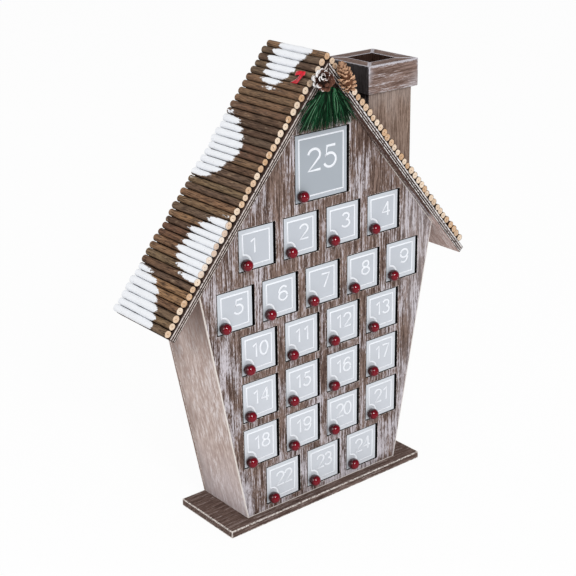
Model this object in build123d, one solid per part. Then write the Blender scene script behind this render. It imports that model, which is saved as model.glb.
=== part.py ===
# Wooden advent calendar: a leaning house of thin boards with 25 small hinged doors,
# a steep roof laid with twigs, a square chimney and a sprig with two cones at the ridge.
# Millimetres, +Z up. The origin is the centre of the base board's underside, the doors face -Y.
import os
from math import cos, pi, radians, sin, sqrt, tan
from random import Random

from build123d import *

# Base board
base_width = 213.0
base_thickness = 6.3
base_front_ledge = 8.5

# House shell
house_depth = 62.5
floor_half_width = 83.3
wall_lean = 11.0
wall_thickness = 4.0
panel_thickness = 4.0
back_thickness = 3.0

# Roof boards
roof_slope = 50.0
ridge_underside_height = 364.0
eave_half_width = 153.0
roof_thickness = 6.2
roof_front_overhang = 7.5
roof_rear_overhang = 3.5

# Rows of doors, with how many each row holds, lowest first; the numbers run from the top row down
door_hole_width = 36.9
door_hole_height = 35.0
top_hole_width = 56.6
top_hole_height = 56.0
column_pitch = 44.7
lowest_row_height = 23.0
row_pitch = 41.5
upper_row_step = 47.0
top_door_step = 54.0
row_door_counts = (3, 4, 4, 4, 5, 4)

# Door leaves
leaf_thickness = 3.4
leaf_recess = 0.3
leaf_chamfer = 0.4
swing_gap = 0.7
hinge_gap = 2.4
pin_inset = 2.0

# Hinge pins
pin_diameter = 1.2
pin_in_leaf = 4.0
pin_in_panel = 2.6
pin_running_clearance = 0.06
pin_end_clearance = 0.5
pin_sides = 10

# Knobs
knob_diameter = 10.0
knob_from_left = 5.1
knob_from_below = 6.7
knob_sides = 12
knob_latitude_shares = (-0.84, -0.45, 0.0, 0.45, 0.78, 0.96)

# Shelves and dividers inside
shelf_thickness = 3.0
divider_thickness = 3.0

# Twigs on the roof
twig_diameter = 6.1
twig_spread_share = 0.09
twig_taper_share = 0.06
twig_gap = 0.12
twig_bedding = 0.1
twig_front_setback = 2.0
twig_rear_setback = 1.0
twig_end_scatter = 1.4
left_bare_eave = 2.0
right_bare_eave = 9.0
ridge_first_share = 1.34
twig_sides = 8
twig_seed = 7

# Chimney
chimney_x = 79.9
shaft_height = 58.2
shaft_width = 47.4
shaft_board = 4.0
cap_width = 55.0
cap_height = 23.0
cap_hole = 28.0
chimney_twig_gap = 0.6

# Cones: the core's rings as shares of the length and of its radius, and the scales round it
cone_scale_count = 34
cone_scale_thickness = 1.0
cone_scale_width_share = 0.34
cone_shoulder_share = 0.8
cone_blunt_share = 0.5
cone_least_reach_share = 0.5
cone_spiral_angle = 137.5
cone_low_tilt = -20.0
cone_high_tilt = 55.0
cone_foot_share = -0.45
cone_scaled_share = 0.84
cone_core_share = 0.62
cone_core_sides = 8
cone_core_shares = ((-0.46, 0.4), (-0.2, 0.9), (0.1, 0.85), (0.46, 0.2))
cone_seat_depth = 1.6
snowy_cone_length = 21.0
snowy_cone_width = 18.4
snowy_cone_x = -12.2
snowy_cone_drop = 10.0
snowy_cone_turns = (62.0, -18.0)
plain_cone_length = 26.0
plain_cone_width = 16.4
plain_cone_x = 12.6
plain_cone_drop = 13.4
plain_cone_turns = (0.0, -24.0)

# Needle sprig
needle_columns = 17
needle_rows = 5
needle_sides = 3
needle_root_radius = 0.42
needle_tip_share = 0.35
sprig_left = -13.0
sprig_right = 5.0
sprig_depth = 5.4
sprig_bundle_top_drop = 23.0
sprig_bundle_height = 3.4
stem_width = 3.2
stem_depth = 3.0
stem_top_drop = 2.6
fan_left = -30.0
fan_right = 25.0
fan_front = 13.5
fan_rear = 4.6
fan_door_clearance = 2.6
fan_rise = 7.0

# Ribbon
ribbon_width = 6.0
ribbon_thickness = 0.6
ribbon_start = 15.0
ribbon_length = 17.0
ribbon_lift = 0.25
ribbon_curl = 3.4
ribbon_from_panel = 1.5

# Places worked out from the sizes above
base_depth = base_front_ledge + house_depth
base_front_y = -base_depth / 2
panel_front_y = base_front_y + base_front_ledge
panel_rear_y = panel_front_y + panel_thickness
rear_y = panel_front_y + house_depth
back_front_y = rear_y - back_thickness
roof_front_y = panel_front_y - roof_front_overhang
roof_rear_y = rear_y + roof_rear_overhang
floor_z = base_thickness
ridge_z = floor_z + ridge_underside_height
slope_cos = cos(radians(roof_slope))
slope_sin = sin(radians(roof_slope))
slope_tan = tan(radians(roof_slope))
lean_cos = cos(radians(wall_lean))
lean_tan = tan(radians(wall_lean))
roof_top_z = ridge_z + roof_thickness / slope_cos
eave_z = ridge_z - eave_half_width * slope_tan
slope_length = eave_half_width / slope_cos + roof_thickness * slope_tan
wall_across = wall_thickness / lean_cos
pin_radius = pin_diameter / 2
knob_radius = knob_diameter / 2
twig_radius = twig_diameter / 2
twig_largest_radius = twig_radius * (1 + twig_spread_share)
shaft_top_z = roof_top_z - chimney_x * slope_tan + shaft_height
chimney_y = (panel_front_y + rear_y) / 2


def row_heights():
    """The height of the middle of each row of small doors, lowest first."""
    heights = [floor_z + lowest_row_height]
    while len(heights) < len(row_door_counts) - 1:
        heights.append(heights[-1] + row_pitch)
    heights.append(heights[-1] + upper_row_step)
    return heights


def row_columns(count):
    """The middles of a row's doors, centred on the house."""
    return [(column - (count - 1) / 2) * column_pitch for column in range(count)]


def all_holes():
    """Each door's number with the middle, the width and the height of its hole in the front panel."""
    places = []
    for height, count in zip(reversed(row_heights()), reversed(row_door_counts)):
        places += [(x, height, door_hole_width, door_hole_height) for x in row_columns(count)]
    places.append((0, row_heights()[-1] + top_door_step, top_hole_width, top_hole_height))
    return dict(enumerate(places, start=1))


def wall_x(z, inside=False):
    """The half width of the house at a height, outside or inside its leaning walls."""
    x = floor_half_width + (z - floor_z) * lean_tan
    return x - wall_across if inside else x


def roof_x(z):
    """The half width under the roof boards at a height."""
    return (ridge_z - z) / slope_tan


def roof_surface_z(x):
    """The height of the roof boards' upper face."""
    return roof_top_z - abs(x) * slope_tan


def wall_top(inside):
    """Where a wall's outer or inner face meets the underside of the roof."""
    x_floor = wall_x(floor_z, inside)
    x = (x_floor + ridge_underside_height * lean_tan) / (1 + slope_tan * lean_tan)
    return x, ridge_z - x * slope_tan


def board(outline, front, rear):
    """A flat board from an outline in X and Z, between two depths."""
    plane = Plane(origin=(0, front, 0), x_dir=(1, 0, 0), z_dir=(0, -1, 0))
    return extrude(plane * make_face(Polyline(*outline, close=True)), amount=front - rear)


def turned(rings, sides):
    """A turned form with flat sides, along Z: its rings are pairs of a height and a radius."""
    circle = [(cos(2 * pi * side / sides), sin(2 * pi * side / sides)) for side in range(sides)]
    corners = [[(radius * x, radius * y, height) for x, y in circle] for height, radius in rings]
    faces = [Face(Wire.make_polygon(ring)) for ring in (corners[0], corners[-1])]
    for low, high in zip(corners, corners[1:]):
        for this in range(sides):
            after = (this + 1) % sides
            faces.append(Face(Wire.make_polygon([low[this], low[after], high[after], high[this]])))
    return Solid(Shell(faces))


def mirrored(outline):
    """The same outline on the other side of the house."""
    return [(-x, z) for x, z in outline]


def house_outline():
    """The five-sided outline that the front and back panels share."""
    low = (wall_x(floor_z), floor_z)
    high = wall_top(False)
    return [mirrored([low])[0], low, high, (0, ridge_z), mirrored([high])[0]]


def base_board():
    return Pos(0, 0, base_thickness / 2) * Box(base_width, base_depth, base_thickness)


def front_panel():
    panel = board(house_outline(), panel_front_y, panel_rear_y)
    cuts = []
    for x, z, wide, tall in all_holes().values():
        cuts.append(Pos(x, panel_front_y, z) * Box(wide, 2 * house_depth, tall))
    return panel - cuts


def back_panel():
    return board(house_outline(), back_front_y, rear_y)


def side_wall():
    """The right wall; the left one is its mirror image."""
    outer_low = (wall_x(floor_z), floor_z)
    inner_low = (wall_x(floor_z, True), floor_z)
    return [inner_low, outer_low, wall_top(False), wall_top(True)]


def shelf_levels():
    """The middle heights of the shelves: one between each two rows, and one under the top door."""
    heights = row_heights()
    levels = [(low + high) / 2 for low, high in zip(heights, heights[1:])]
    under_top = heights[-1] + door_hole_height / 2
    over_top = heights[-1] + top_door_step - top_hole_height / 2
    levels.append((under_top + over_top) / 2)
    return levels


def inner_half_width(z):
    """The half width inside the house, between the walls or, higher up, under the roof."""
    return min(wall_x(z, True), roof_x(z))


def shelf(level):
    low = level - shelf_thickness / 2
    high = level + shelf_thickness / 2
    right = [(inner_half_width(low), low), (inner_half_width(high), high)]
    knee_x, knee_z = wall_top(True)
    if low < knee_z < high:
        right.insert(1, (knee_x, knee_z))
    left = mirrored(reversed(right))
    return board(right + left, panel_rear_y, back_front_y)


def row_dividers(row):
    """The upright boards between the compartments of one row."""
    levels = shelf_levels()
    low = levels[row - 1] + shelf_thickness / 2 if row else floor_z
    high = levels[row] - shelf_thickness / 2
    count = row_door_counts[row]
    depth = back_front_y - panel_rear_y
    uprights = []
    for x in row_columns(count)[:-1]:
        middle = (x + column_pitch / 2, (panel_rear_y + back_front_y) / 2, (low + high) / 2)
        uprights.append(Pos(*middle) * Box(divider_thickness, depth, high - low))
    return Compound(uprights)


def pin_place(number):
    """The upright hinge line of a door, near its right edge at mid thickness."""
    x, z, wide, tall = all_holes()[number]
    return x + wide / 2 - hinge_gap - pin_inset, panel_front_y + leaf_recess + leaf_thickness / 2


def knob_solid():
    """A round bead with a flat seat, its axis along Z and the seat at zero height."""
    rings = []
    for latitude_share in knob_latitude_shares:
        height = knob_radius * (latitude_share - knob_latitude_shares[0])
        rings.append((height, knob_radius * sqrt(1 - latitude_share**2)))
    return turned(rings, knob_sides)


def door(number, bead):
    """One door: a flat leaf with a blind bore at each end of its hinge line, and its bead knob."""
    x, z, wide, tall = all_holes()[number]
    left = x - wide / 2 + swing_gap
    right = x + wide / 2 - hinge_gap
    height = tall - 2 * swing_gap
    face_y = panel_front_y + leaf_recess
    middle = ((left + right) / 2, face_y + leaf_thickness / 2, z)
    leaf = Pos(*middle) * Box(right - left, leaf_thickness, height)
    leaf = chamfer(leaf.faces().sort_by(Axis.Y)[0].edges(), leaf_chamfer)
    pin_x, pin_y = pin_place(number)
    bore_radius = (pin_radius + pin_running_clearance) / cos(pi / pin_sides)
    bore_depth = pin_in_leaf + pin_end_clearance
    bore = turned([(-bore_depth, bore_radius), (bore_depth, bore_radius)], pin_sides)
    for end in (z + height / 2, z - height / 2):
        leaf -= Pos(pin_x, pin_y, end) * bore
    seat = (x - wide / 2 + knob_from_left, face_y, z - tall / 2 + knob_from_below)
    knob = Pos(*seat) * Rot(90, 0, 0) * bead
    return Compound([leaf.solid(), knob.solid()])


def hinge_pins():
    """Two short brads for each door, driven into the panel above and below it."""
    pins = []
    length = pin_in_panel + swing_gap + pin_in_leaf
    pin = turned([(-length / 2, pin_radius), (length / 2, pin_radius)], pin_sides)
    for number, (x, z, wide, tall) in all_holes().items():
        pin_x, pin_y = pin_place(number)
        reach = tall / 2 + pin_in_panel - length / 2
        for middle in (z + reach, z - reach):
            pins.append(Pos(pin_x, pin_y, middle) * pin)
    return Compound(pins)


def roof_board():
    """The right roof board's outline; the left one is its mirror image."""
    low_tip = (eave_half_width, eave_z)
    high_tip = (eave_half_width + roof_thickness * slope_sin, eave_z + roof_thickness * slope_cos)
    return [(0, ridge_z), low_tip, high_tip, (0, roof_top_z)]


def twig(front_radius, rear_radius, x, z, front, rear):
    """One straight twig along Y, a little thicker at one end."""
    rings = [(0, front_radius), (rear - front, rear_radius)]
    return Pos(x, front, z) * Rot(-90, 0, 0) * turned(rings, twig_sides)


def twig_stretches(x, radius):
    """The depths that a twig covers: all of the roof, or only in front of and behind the chimney."""
    front = roof_front_y + twig_front_setback
    rear = roof_rear_y - twig_rear_setback
    reach = shaft_width / 2 + chimney_twig_gap
    if abs(x - chimney_x) > reach + radius:
        return [(front, rear)]
    return [(front, chimney_y - reach), (chimney_y + reach, rear)]


def roof_twigs(side, bare_eave, with_ridge):
    """The twigs laid side by side down one slope: side is 1 for the right and -1 for the left."""
    chance = Random(twig_seed + side)
    solids = []
    if with_ridge:
        ridge_height = roof_top_z + twig_radius + twig_bedding
        thin_end = twig_radius * (1 - twig_taper_share)
        solids.append(twig(twig_radius, thin_end, 0, ridge_height, *twig_stretches(0, twig_radius)[0]))
    along = twig_radius * ridge_first_share
    last_radius = 0
    while along < slope_length - bare_eave - twig_radius:
        radius = twig_radius * (1 + twig_spread_share * chance.uniform(-1, 1))
        taper = radius * (1 - twig_taper_share * chance.random())
        ends = (radius, taper) if chance.random() < 1 / 2 else (taper, radius)
        if last_radius:
            along += last_radius + radius + twig_gap
        lift = radius + twig_bedding
        x = side * (along * slope_cos + lift * slope_sin)
        z = roof_top_z - along * slope_sin + lift * slope_cos
        early = twig_end_scatter * chance.random()
        late = twig_end_scatter * chance.random()
        for front, rear in twig_stretches(x, radius):
            start = front + early if front < panel_front_y else front
            stop = rear - late if rear > back_front_y else rear
            solids.append(twig(*ends, x, z, start, stop))
        last_radius = radius
    return Compound(solids)


def chimney_board(x_low, x_high, y_low, y_high):
    """One upright board of the shaft, its foot cut to the roof's slope."""
    foot_low = (x_low, roof_surface_z(x_low))
    foot_high = (x_high, roof_surface_z(x_high))
    return board([foot_low, foot_high, (x_high, shaft_top_z), (x_low, shaft_top_z)], y_low, y_high)


def chimney_boards():
    """The four boards of the shaft: the front and rear ones cover the edges of the other two."""
    left = chimney_x - shaft_width / 2
    right = chimney_x + shaft_width / 2
    front = chimney_y - shaft_width / 2
    rear = chimney_y + shaft_width / 2
    return {
        "chimney_front_board": chimney_board(left, right, front, front + shaft_board),
        "chimney_rear_board": chimney_board(left, right, rear - shaft_board, rear),
        "chimney_left_board": chimney_board(left, left + shaft_board, front + shaft_board, rear - shaft_board),
        "chimney_right_board": chimney_board(right - shaft_board, right, front + shaft_board, rear - shaft_board),
    }


def chimney_cap():
    """Four bars mitred into a square frame on top of the shaft."""
    outer = cap_width / 2
    inner = cap_hole / 2
    bar = make_face(Polyline((-outer, -outer), (outer, -outer), (inner, -inner), (-inner, -inner), close=True))
    place = Pos(chimney_x, chimney_y, shaft_top_z)
    return Compound([place * Rot(0, 0, 90 * turn) * extrude(bar, cap_height) for turn in range(4)])


def cone_scale(reach, width):
    """One woody scale pointing along X, widest near its blunt tip."""
    root = reach * cone_core_share / 2
    shoulder = reach * cone_shoulder_share
    half = width / 2
    blunt = half * cone_blunt_share
    lower = [(root, -blunt), (shoulder, -half), (reach, -blunt)]
    upper = [(x, -y) for x, y in reversed(lower)]
    blade = extrude(make_face(Polyline(*lower, *upper, close=True)), cone_scale_thickness)
    return Pos(0, 0, -cone_scale_thickness / 2) * blade


def pine_cone(length, width):
    """A cone along Z: a bellied core with scales set round it in a spiral."""
    core_radius = width / 2 * cone_core_share
    core = turned([(length * up, core_radius * out) for up, out in cone_core_shares], cone_core_sides)
    scales = []
    for index in range(cone_scale_count):
        rise_share = (index + 1 / 2) / cone_scale_count
        belly_share = max(sqrt(sin(pi * (1 + 6 * rise_share) / 8)), cone_least_reach_share)
        tilt = cone_low_tilt + (cone_high_tilt - cone_low_tilt) * rise_share
        height = length * (cone_foot_share + cone_scaled_share * rise_share)
        blade = cone_scale(width / 2 * belly_share, width * cone_scale_width_share * belly_share)
        scales.append(Pos(0, 0, height) * Rot(0, 0, index * cone_spiral_angle) * Rot(0, -tilt, 0) * blade)
    return core.fuse(*scales)


def seated_cone(length, width, x, drop, turns):
    """A cone glued to the front edges of the roof boards, with a flat ground on its back."""
    lean, sway = turns
    y = roof_front_y - width / 2 + cone_seat_depth
    cone = Pos(x, y, roof_top_z - drop) * Rot(0, sway, 0) * Rot(lean, 0, 0) * pine_cone(length, width)
    behind = Pos(x, roof_front_y + house_depth / 2, roof_top_z - drop)
    cone -= behind * Box(house_depth, house_depth, house_depth)
    return max(cone.solids(), key=lambda solid: solid.volume)


def needle(root, tip):
    """One three-sided needle that thins towards its tip."""
    run = Vector(*tip) - Vector(*root)
    rings = [(0, needle_root_radius), (run.length, needle_root_radius * needle_tip_share)]
    return Plane(origin=root, x_dir=(0, 1, 0), z_dir=run).location * turned(rings, needle_sides)


def pine_sprig():
    """A wired stem at the ridge with a bundle of needles that fans out downwards in front of the gable."""
    bundle_top = roof_top_z - sprig_bundle_top_drop
    bundle_low = bundle_top - sprig_bundle_height
    stem_top = roof_top_z - stem_top_drop
    stem = Pos(0, roof_front_y - stem_depth / 2, (stem_top + bundle_low) / 2)
    body = stem * Box(stem_width, stem_depth, stem_top - bundle_low)
    width = sprig_right - sprig_left
    middle = ((sprig_left + sprig_right) / 2, roof_front_y - sprig_depth / 2, (bundle_top + bundle_low) / 2)
    body += Pos(*middle) * Box(width, sprig_depth, sprig_bundle_height)
    top_of_door = max(z + tall / 2 for x, z, wide, tall in all_holes().values())
    needles = []
    for row in range(needle_rows):
        deep_share = (row + 1 / 2) / needle_rows
        for column in range(needle_columns):
            across_share = (column + (1 + row % 2) / 3) / needle_columns
            root_x = sprig_left + width * across_share
            root_y = roof_front_y - sprig_depth * (1 - deep_share)
            tip_x = fan_left + (fan_right - fan_left) * across_share
            tip_y = panel_front_y - fan_front + (fan_front - fan_rear) * deep_share
            bow_share = (2 * across_share - 1) ** 2
            uneven_share = (column * 3 + row * 2) % 5 / 10
            tip_z = top_of_door + fan_door_clearance + fan_rise * (bow_share + uneven_share) / 2
            needles.append(needle((root_x, root_y, bundle_low + sprig_bundle_height / 2), (tip_x, tip_y, tip_z)))
    return body.fuse(*needles)


def ribbon():
    """A short satin tail that lies on the left slope's twigs beside the cones, its end curling up."""
    seat = 2 * twig_largest_radius + twig_bedding + ribbon_lift
    plane = Plane(
        origin=(0, panel_front_y - ribbon_from_panel, roof_top_z),
        x_dir=(-slope_cos, 0, -slope_sin),
        z_dir=(0, 1, 0),
    )
    flat_end = ribbon_start + ribbon_length * 2 / 3
    end = ribbon_start + ribbon_length
    path = Line((ribbon_start, seat), (flat_end, seat))
    path += ThreePointArc((flat_end, seat), ((flat_end + end) / 2, seat + ribbon_curl / 4), (end, seat + ribbon_curl))
    strip = trace(path, ribbon_thickness)
    return plane * extrude(strip, ribbon_width)


def build_parts():
    """Every node of the calendar by its name."""
    bead = knob_solid()
    inner = (panel_rear_y, back_front_y)
    over = (roof_front_y, roof_rear_y)
    nodes = {
        "base_board": base_board(),
        "front_panel": front_panel(),
        "back_panel": back_panel(),
        "left_wall": board(mirrored(side_wall()), *inner),
        "right_wall": board(side_wall(), *inner),
        "left_roof_board": board(mirrored(roof_board()), *over),
        "right_roof_board": board(roof_board(), *over),
        "left_roof_twigs": roof_twigs(-1, left_bare_eave, True),
        "right_roof_twigs": roof_twigs(1, right_bare_eave, False),
        "chimney_cap": chimney_cap(),
        "hinge_pins": hinge_pins(),
        "snowy_pine_cone": seated_cone(
            snowy_cone_length, snowy_cone_width, snowy_cone_x, snowy_cone_drop, snowy_cone_turns
        ),
        "plain_pine_cone": seated_cone(
            plain_cone_length, plain_cone_width, plain_cone_x, plain_cone_drop, plain_cone_turns
        ),
        "pine_sprig": pine_sprig(),
        "ribbon": ribbon(),
    }
    nodes.update(chimney_boards())
    for number, level in enumerate(shelf_levels(), start=1):
        nodes[f"shelf_{number}"] = shelf(level)
    for row in range(len(row_door_counts)):
        nodes[f"dividers_row_{row + 1}"] = row_dividers(row)
    for number in all_holes():
        nodes[f"door_{number:02d}"] = door(number, bead)
    return nodes


os.makedirs("parts", exist_ok=True)
for name, shape in build_parts().items():
    export_step(shape, f"parts/{name}.step")
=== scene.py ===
# %% [markdown]
# # A wooden advent house with a twig roof
# The real object is a small plywood house, brushed with a brown stain and a pale wash. Its front has
# 25 numbered doors on pins, its roof is a row of glued twigs with painted snow, and two cones, a
# sprig of needles and a scrap of ribbon hang at the ridge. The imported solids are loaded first, so that
# every piece made here can be set in the same frame, in metres, without any fitting by eye.

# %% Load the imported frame
import math
import random

import bmesh
import bpy
from mathutils import Matrix, Vector


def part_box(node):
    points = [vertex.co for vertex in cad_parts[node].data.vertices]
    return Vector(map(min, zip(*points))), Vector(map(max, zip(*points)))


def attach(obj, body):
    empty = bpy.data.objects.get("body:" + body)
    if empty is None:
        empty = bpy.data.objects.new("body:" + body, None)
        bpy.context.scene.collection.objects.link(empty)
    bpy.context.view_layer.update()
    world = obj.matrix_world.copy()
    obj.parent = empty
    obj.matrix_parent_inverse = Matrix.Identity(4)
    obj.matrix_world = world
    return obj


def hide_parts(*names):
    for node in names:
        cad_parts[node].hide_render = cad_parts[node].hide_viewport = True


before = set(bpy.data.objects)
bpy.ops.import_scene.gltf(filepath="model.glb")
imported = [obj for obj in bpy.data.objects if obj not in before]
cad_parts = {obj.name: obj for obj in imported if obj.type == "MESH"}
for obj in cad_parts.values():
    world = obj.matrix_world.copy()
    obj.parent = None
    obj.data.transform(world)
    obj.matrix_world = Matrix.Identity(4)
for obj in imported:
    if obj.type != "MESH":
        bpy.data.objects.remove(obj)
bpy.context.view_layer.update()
MM = 0.001

# %% [markdown]
# ## The camera
# The photograph looks at the house from its left and from a little above. The angles and the lens
# come from fitting the corners of the door holes, which lie in one flat plane at a known spacing.
# A camera could be aimed by hand, but this one is fitted.

# %% Set the camera
azimuth, elevation, roll = (math.radians(angle) for angle in (-38.98, 21.16, -0.84))
camera_place, lens, sensor = (-0.65405, -0.7896, 0.58037), 82.02, 36
level = Vector((math.cos(azimuth), math.sin(azimuth), 0))
flat = math.cos(elevation)
back = Vector((math.sin(azimuth) * flat, -math.cos(azimuth) * flat, math.sin(elevation)))
upright = back.cross(level)
across = math.cos(roll) * level + math.sin(roll) * upright
above = math.cos(roll) * upright - math.sin(roll) * level
camera = bpy.data.objects.new("camera", bpy.data.cameras.new("camera"))
camera.data.sensor_width = sensor
camera.data.lens = lens
camera.matrix_world = Matrix.Translation(camera_place) @ Matrix((across, above, back)).transposed().to_4x4()
scene = bpy.context.scene
scene.collection.objects.link(camera)
scene.camera = camera
scene.view_settings.view_transform = "Standard"
print("camera at", [round(value, 3) for value in camera.location])

# %% [markdown]
# ## Shader maths in plain expressions
# Every finish below is a small formula: a pattern times a weight, plus another. Node by node that is
# hard to read, so one class wraps a socket and turns Python's operators into Math nodes. Its method
# `node` adds any other node, with its inputs and settings, and serves Geometry Nodes just as well.


# %% Wrap a socket
def pick(sockets, key):
    """A socket by its place in the list, its identifier or its name."""
    if isinstance(key, int):
        return sockets[key]
    return next(socket for socket in sockets if key in (socket.identifier, socket.name))


class Wire:
    """One output of a node, so that 1 - a or a * b adds the Math node for it."""

    def __init__(self, tree, socket=None):
        self.tree = tree
        self.socket = socket

    def plug(self, socket, value):
        if isinstance(value, Wire):
            self.tree.links.new(value.socket, socket)
        else:
            socket.default_value = value

    def node(self, kind, inputs=None, out=0, **settings):
        made = self.tree.nodes.new(kind)
        for name, value in settings.items():
            if name == "stops":
                fill_ramp(made.color_ramp, value)
            else:
                setattr(made, name, value)
        for name, value in (inputs or {}).items():
            self.plug(pick(made.inputs, name), value)
        return Wire(self.tree, pick(made.outputs, out))

    def math(self, operation, first, second=0.0):
        return self.node("ShaderNodeMath", {0: first, 1: second}, operation=operation)

    def __add__(self, other):
        return self.math("ADD", self, other)

    def __radd__(self, other):
        return self.math("ADD", other, self)

    def __sub__(self, other):
        return self.math("SUBTRACT", self, other)

    def __rsub__(self, other):
        return self.math("SUBTRACT", other, self)

    def __mul__(self, other):
        return self.math("MULTIPLY", self, other)

    def __rmul__(self, other):
        return self.math("MULTIPLY", other, self)

    def __truediv__(self, other):
        return self.math("DIVIDE", self, other)


def fill_ramp(ramp, stops):
    """Sets a colour ramp's stops from a list of (place, screen colour)."""
    while len(ramp.elements) < len(stops):
        ramp.elements.new(1.0)
    for element, (place, colour) in zip(ramp.elements, stops):
        element.position = place
        element.color = tint(*colour)


print("wires ready")

# %% [markdown]
# ## Words that the finishes share
# A finish is easier to judge when sizes are in millimetres and colours are the ones a screen shows,
# so these helpers take both. Noise stretched along one axis is grain; a smooth step turns a pattern
# into a mask; a mix lays one colour over another.


# %% Helpers for finishes
def tint(red, green, blue):
    """A screen colour from 0 to 255, as the linear colour that nodes take."""
    linear = []
    for share in (red / 255, green / 255, blue / 255):
        linear.append(share / 12.92 if share <= 0.04045 else ((share + 0.055) / 1.055) ** 2.4)
    return (*linear, 1.0)


def surface(place, **inputs):
    """Puts patterns or plain values on the sockets of the finish's shader."""
    shader = place.tree.nodes["Principled BSDF"]
    for socket, value in inputs.items():
        place.plug(shader.inputs[socket.replace("_", " ")], value)


def new_finish(name, **constants):
    """A material and a wire of its Object coordinates; constants go on the shader's sockets."""
    material = bpy.data.materials.new(name)
    material.use_nodes = True
    place = Wire(material.node_tree).node("ShaderNodeTexCoord", out="Object")
    surface(place, **constants)
    return material, place


def noise(place, size, stretch=(1, 1, 1), detail=3.0, rough=0.55, wander=0.0):
    """Cloudy noise whose grains are about size mm wide, finer along an axis with a larger stretch."""
    scale = [share / (size * MM) for share in stretch]
    spot = place.node("ShaderNodeMapping", {"Vector": place, "Scale": scale})
    inputs = {"Vector": spot, "Scale": 1.0, "Detail": detail, "Roughness": rough, "Distortion": wander}
    return place.node("ShaderNodeTexNoise", inputs)


def step(value, low, high):
    """A mask that rises smoothly from 0 at low to 1 at high."""
    inputs = {"Value": value, "From Min": low, "From Max": high}
    return value.node("ShaderNodeMapRange", inputs, interpolation_type="SMOOTHSTEP")


def mix(mask, under, over):
    """The colour over laid on the colour under, where the mask is 1; each a wire or a screen colour."""
    under, over = (colour if isinstance(colour, Wire) else tint(*colour) for colour in (under, over))
    inputs = {"Factor_Float": mask, "A_Color": under, "B_Color": over}
    return mask.node("ShaderNodeMix", inputs, "Result_Color", data_type="RGBA")


def attribute(place, name, out="Fac"):
    """A number or colour that the mesh itself carries."""
    return place.node("ShaderNodeAttribute", None, out, attribute_name=name)


def along(place, axis):
    """How far a point lies along an axis, in mm."""
    return place.node("ShaderNodeSeparateXYZ", {"Vector": place}, axis) / MM


def vector(operation, first, second=(0, 0, 0)):
    """Vector maths on two wires, or on a wire and a plain vector."""
    out = "Value" if operation in ("DOT_PRODUCT", "LENGTH") else "Vector"
    return first.node("ShaderNodeVectorMath", {0: first, 1: second}, out, operation=operation)


def bump(height, depth, strength=1.0):
    """Turns a height pattern into a tilted normal, depth in mm."""
    inputs = {"Height": height, "Distance": depth * MM, "Strength": strength}
    return height.node("ShaderNodeBump", inputs)


print("finish helpers ready")

# %% [markdown]
# ## Stained and brushed wood
# The boards are thin plywood, stained brown, then brushed with a pale lavender-grey wash that stays in
# streaks along the grain, and rubbed through to a creamy primer along the edges. An image of wood
# would tile and can't follow each board's direction, so the streaks are noise stretched along the
# grain, turned by a Mapping node for each board. Edges are worn where the mesh's own 'wear' value says.


# %% Mix the stain
def stained_wood(
    name, dark, mid, wash, washed=0.5, turn=(0, 0, 0), worn=0.5, edge=(230, 223, 217), cloudy=0.5,
    shades=(), coarse=1.0, brushed=(),
):
    """Stain with a pale wash along the grain and worn edges; more wash, tints or painted shade gather along
    an axis.
    """
    material, place = new_finish(name, Specular_IOR_Level=0.3)
    grain = place.node("ShaderNodeMapping", {"Vector": place, "Rotation": turn})
    fine = noise(grain, 0.6 * coarse, (1, 1, 0.16), 3.0, 0.7)
    fibre = noise(grain, 1.2 * coarse, (1, 1, 0.06), 3.0, 0.6)
    broad = noise(grain, 3.2 * coarse, (1, 1, 0.07), 2.0, 0.5, 0.15)
    pore = noise(grain, 0.45, (1, 1, 0.1), 2.0)
    patch = noise(grain, 22, (1, 1, 0.5))
    scuff = noise(place, 1.4, rough=0.65)

    def gathered(axis, start, full):
        return step(along(place, axis) + (patch - 0.5) * 60, start, full)

    rubbed = fine * 0.8 + fibre * 0.9 + broad * 0.3 + (patch - 0.5) * cloudy
    for axis, start, full, more in brushed:
        rubbed = rubbed + gathered(axis, start, full) * more
    pale = step(rubbed, 1.12 - 0.24 * washed, 1.32 - 0.24 * washed)
    colour = mix(step(fine * 0.4 + fibre * 0.6, 0.38, 0.6), dark, mid)
    colour = mix(pale * 0.9, colour, wash)
    for axis, start, full, shade, weight in shades:
        colour = mix(gathered(axis, start, full) * (0.35 + fibre * 1.3) * weight, colour, shade)
    colour = mix(step(pore, 0.56, 0.68) * 0.45, colour, dark)
    bare = attribute(place, "wear") + scuff * 1.1 + fine * 0.4
    colour = mix(step(bare, 2.02 - 0.7 * worn, 2.3 - 0.7 * worn) * 0.85, colour, edge)
    relief = fibre * 0.5 + fine * 0.6 + pale * 0.3
    surface(place, Base_Color=colour, Roughness=0.74 - pale * 0.12, Normal=bump(relief, 0.2, 0.8))
    return material


print("stain ready")

# %% Make the wood finishes
level_grain, deep_grain = (0, math.radians(90), 0), (math.radians(90), 0, 0)
wall_painted_shade, frost = (104, 84, 76), (196, 193, 200)
front_wood = stained_wood(
    "front_wood", (66, 46, 38), (142, 119, 108), (204, 199, 206), worn=0.7, cloudy=0.7,
    shades=[("X", 80, 106, (208, 202, 206), 0.22)],
    brushed=[("Z", 80, 15, 0.09), ("X", 76, 104, 0.06), ("X", -50, -90, 0.01)],
)
# Painted shade: the side walls darken towards the top, under the eaves, and towards their rear edge.
side_wood = stained_wood(
    "side_wood", (174, 152, 144), (207, 190, 183), (224, 214, 213), 0.4, worn=0.6, cloudy=0.6, coarse=2.0,
    shades=[("Z", 140, 222, wall_painted_shade, 0.85), ("Z", 70, 10, (214, 208, 216), 0.4), ("Y", 12, 36, wall_painted_shade, 0.5)],
)
back_wood = stained_wood(
    "back_wood", (124, 100, 90), (178, 157, 148), (212, 202, 201), 0.3, worn=0.6, cloudy=0.8, coarse=1.6,
)
base_wood = stained_wood("base_wood", (70, 51, 44), (116, 96, 88), (166, 153, 150), 0.2, level_grain, 0.66)
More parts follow.
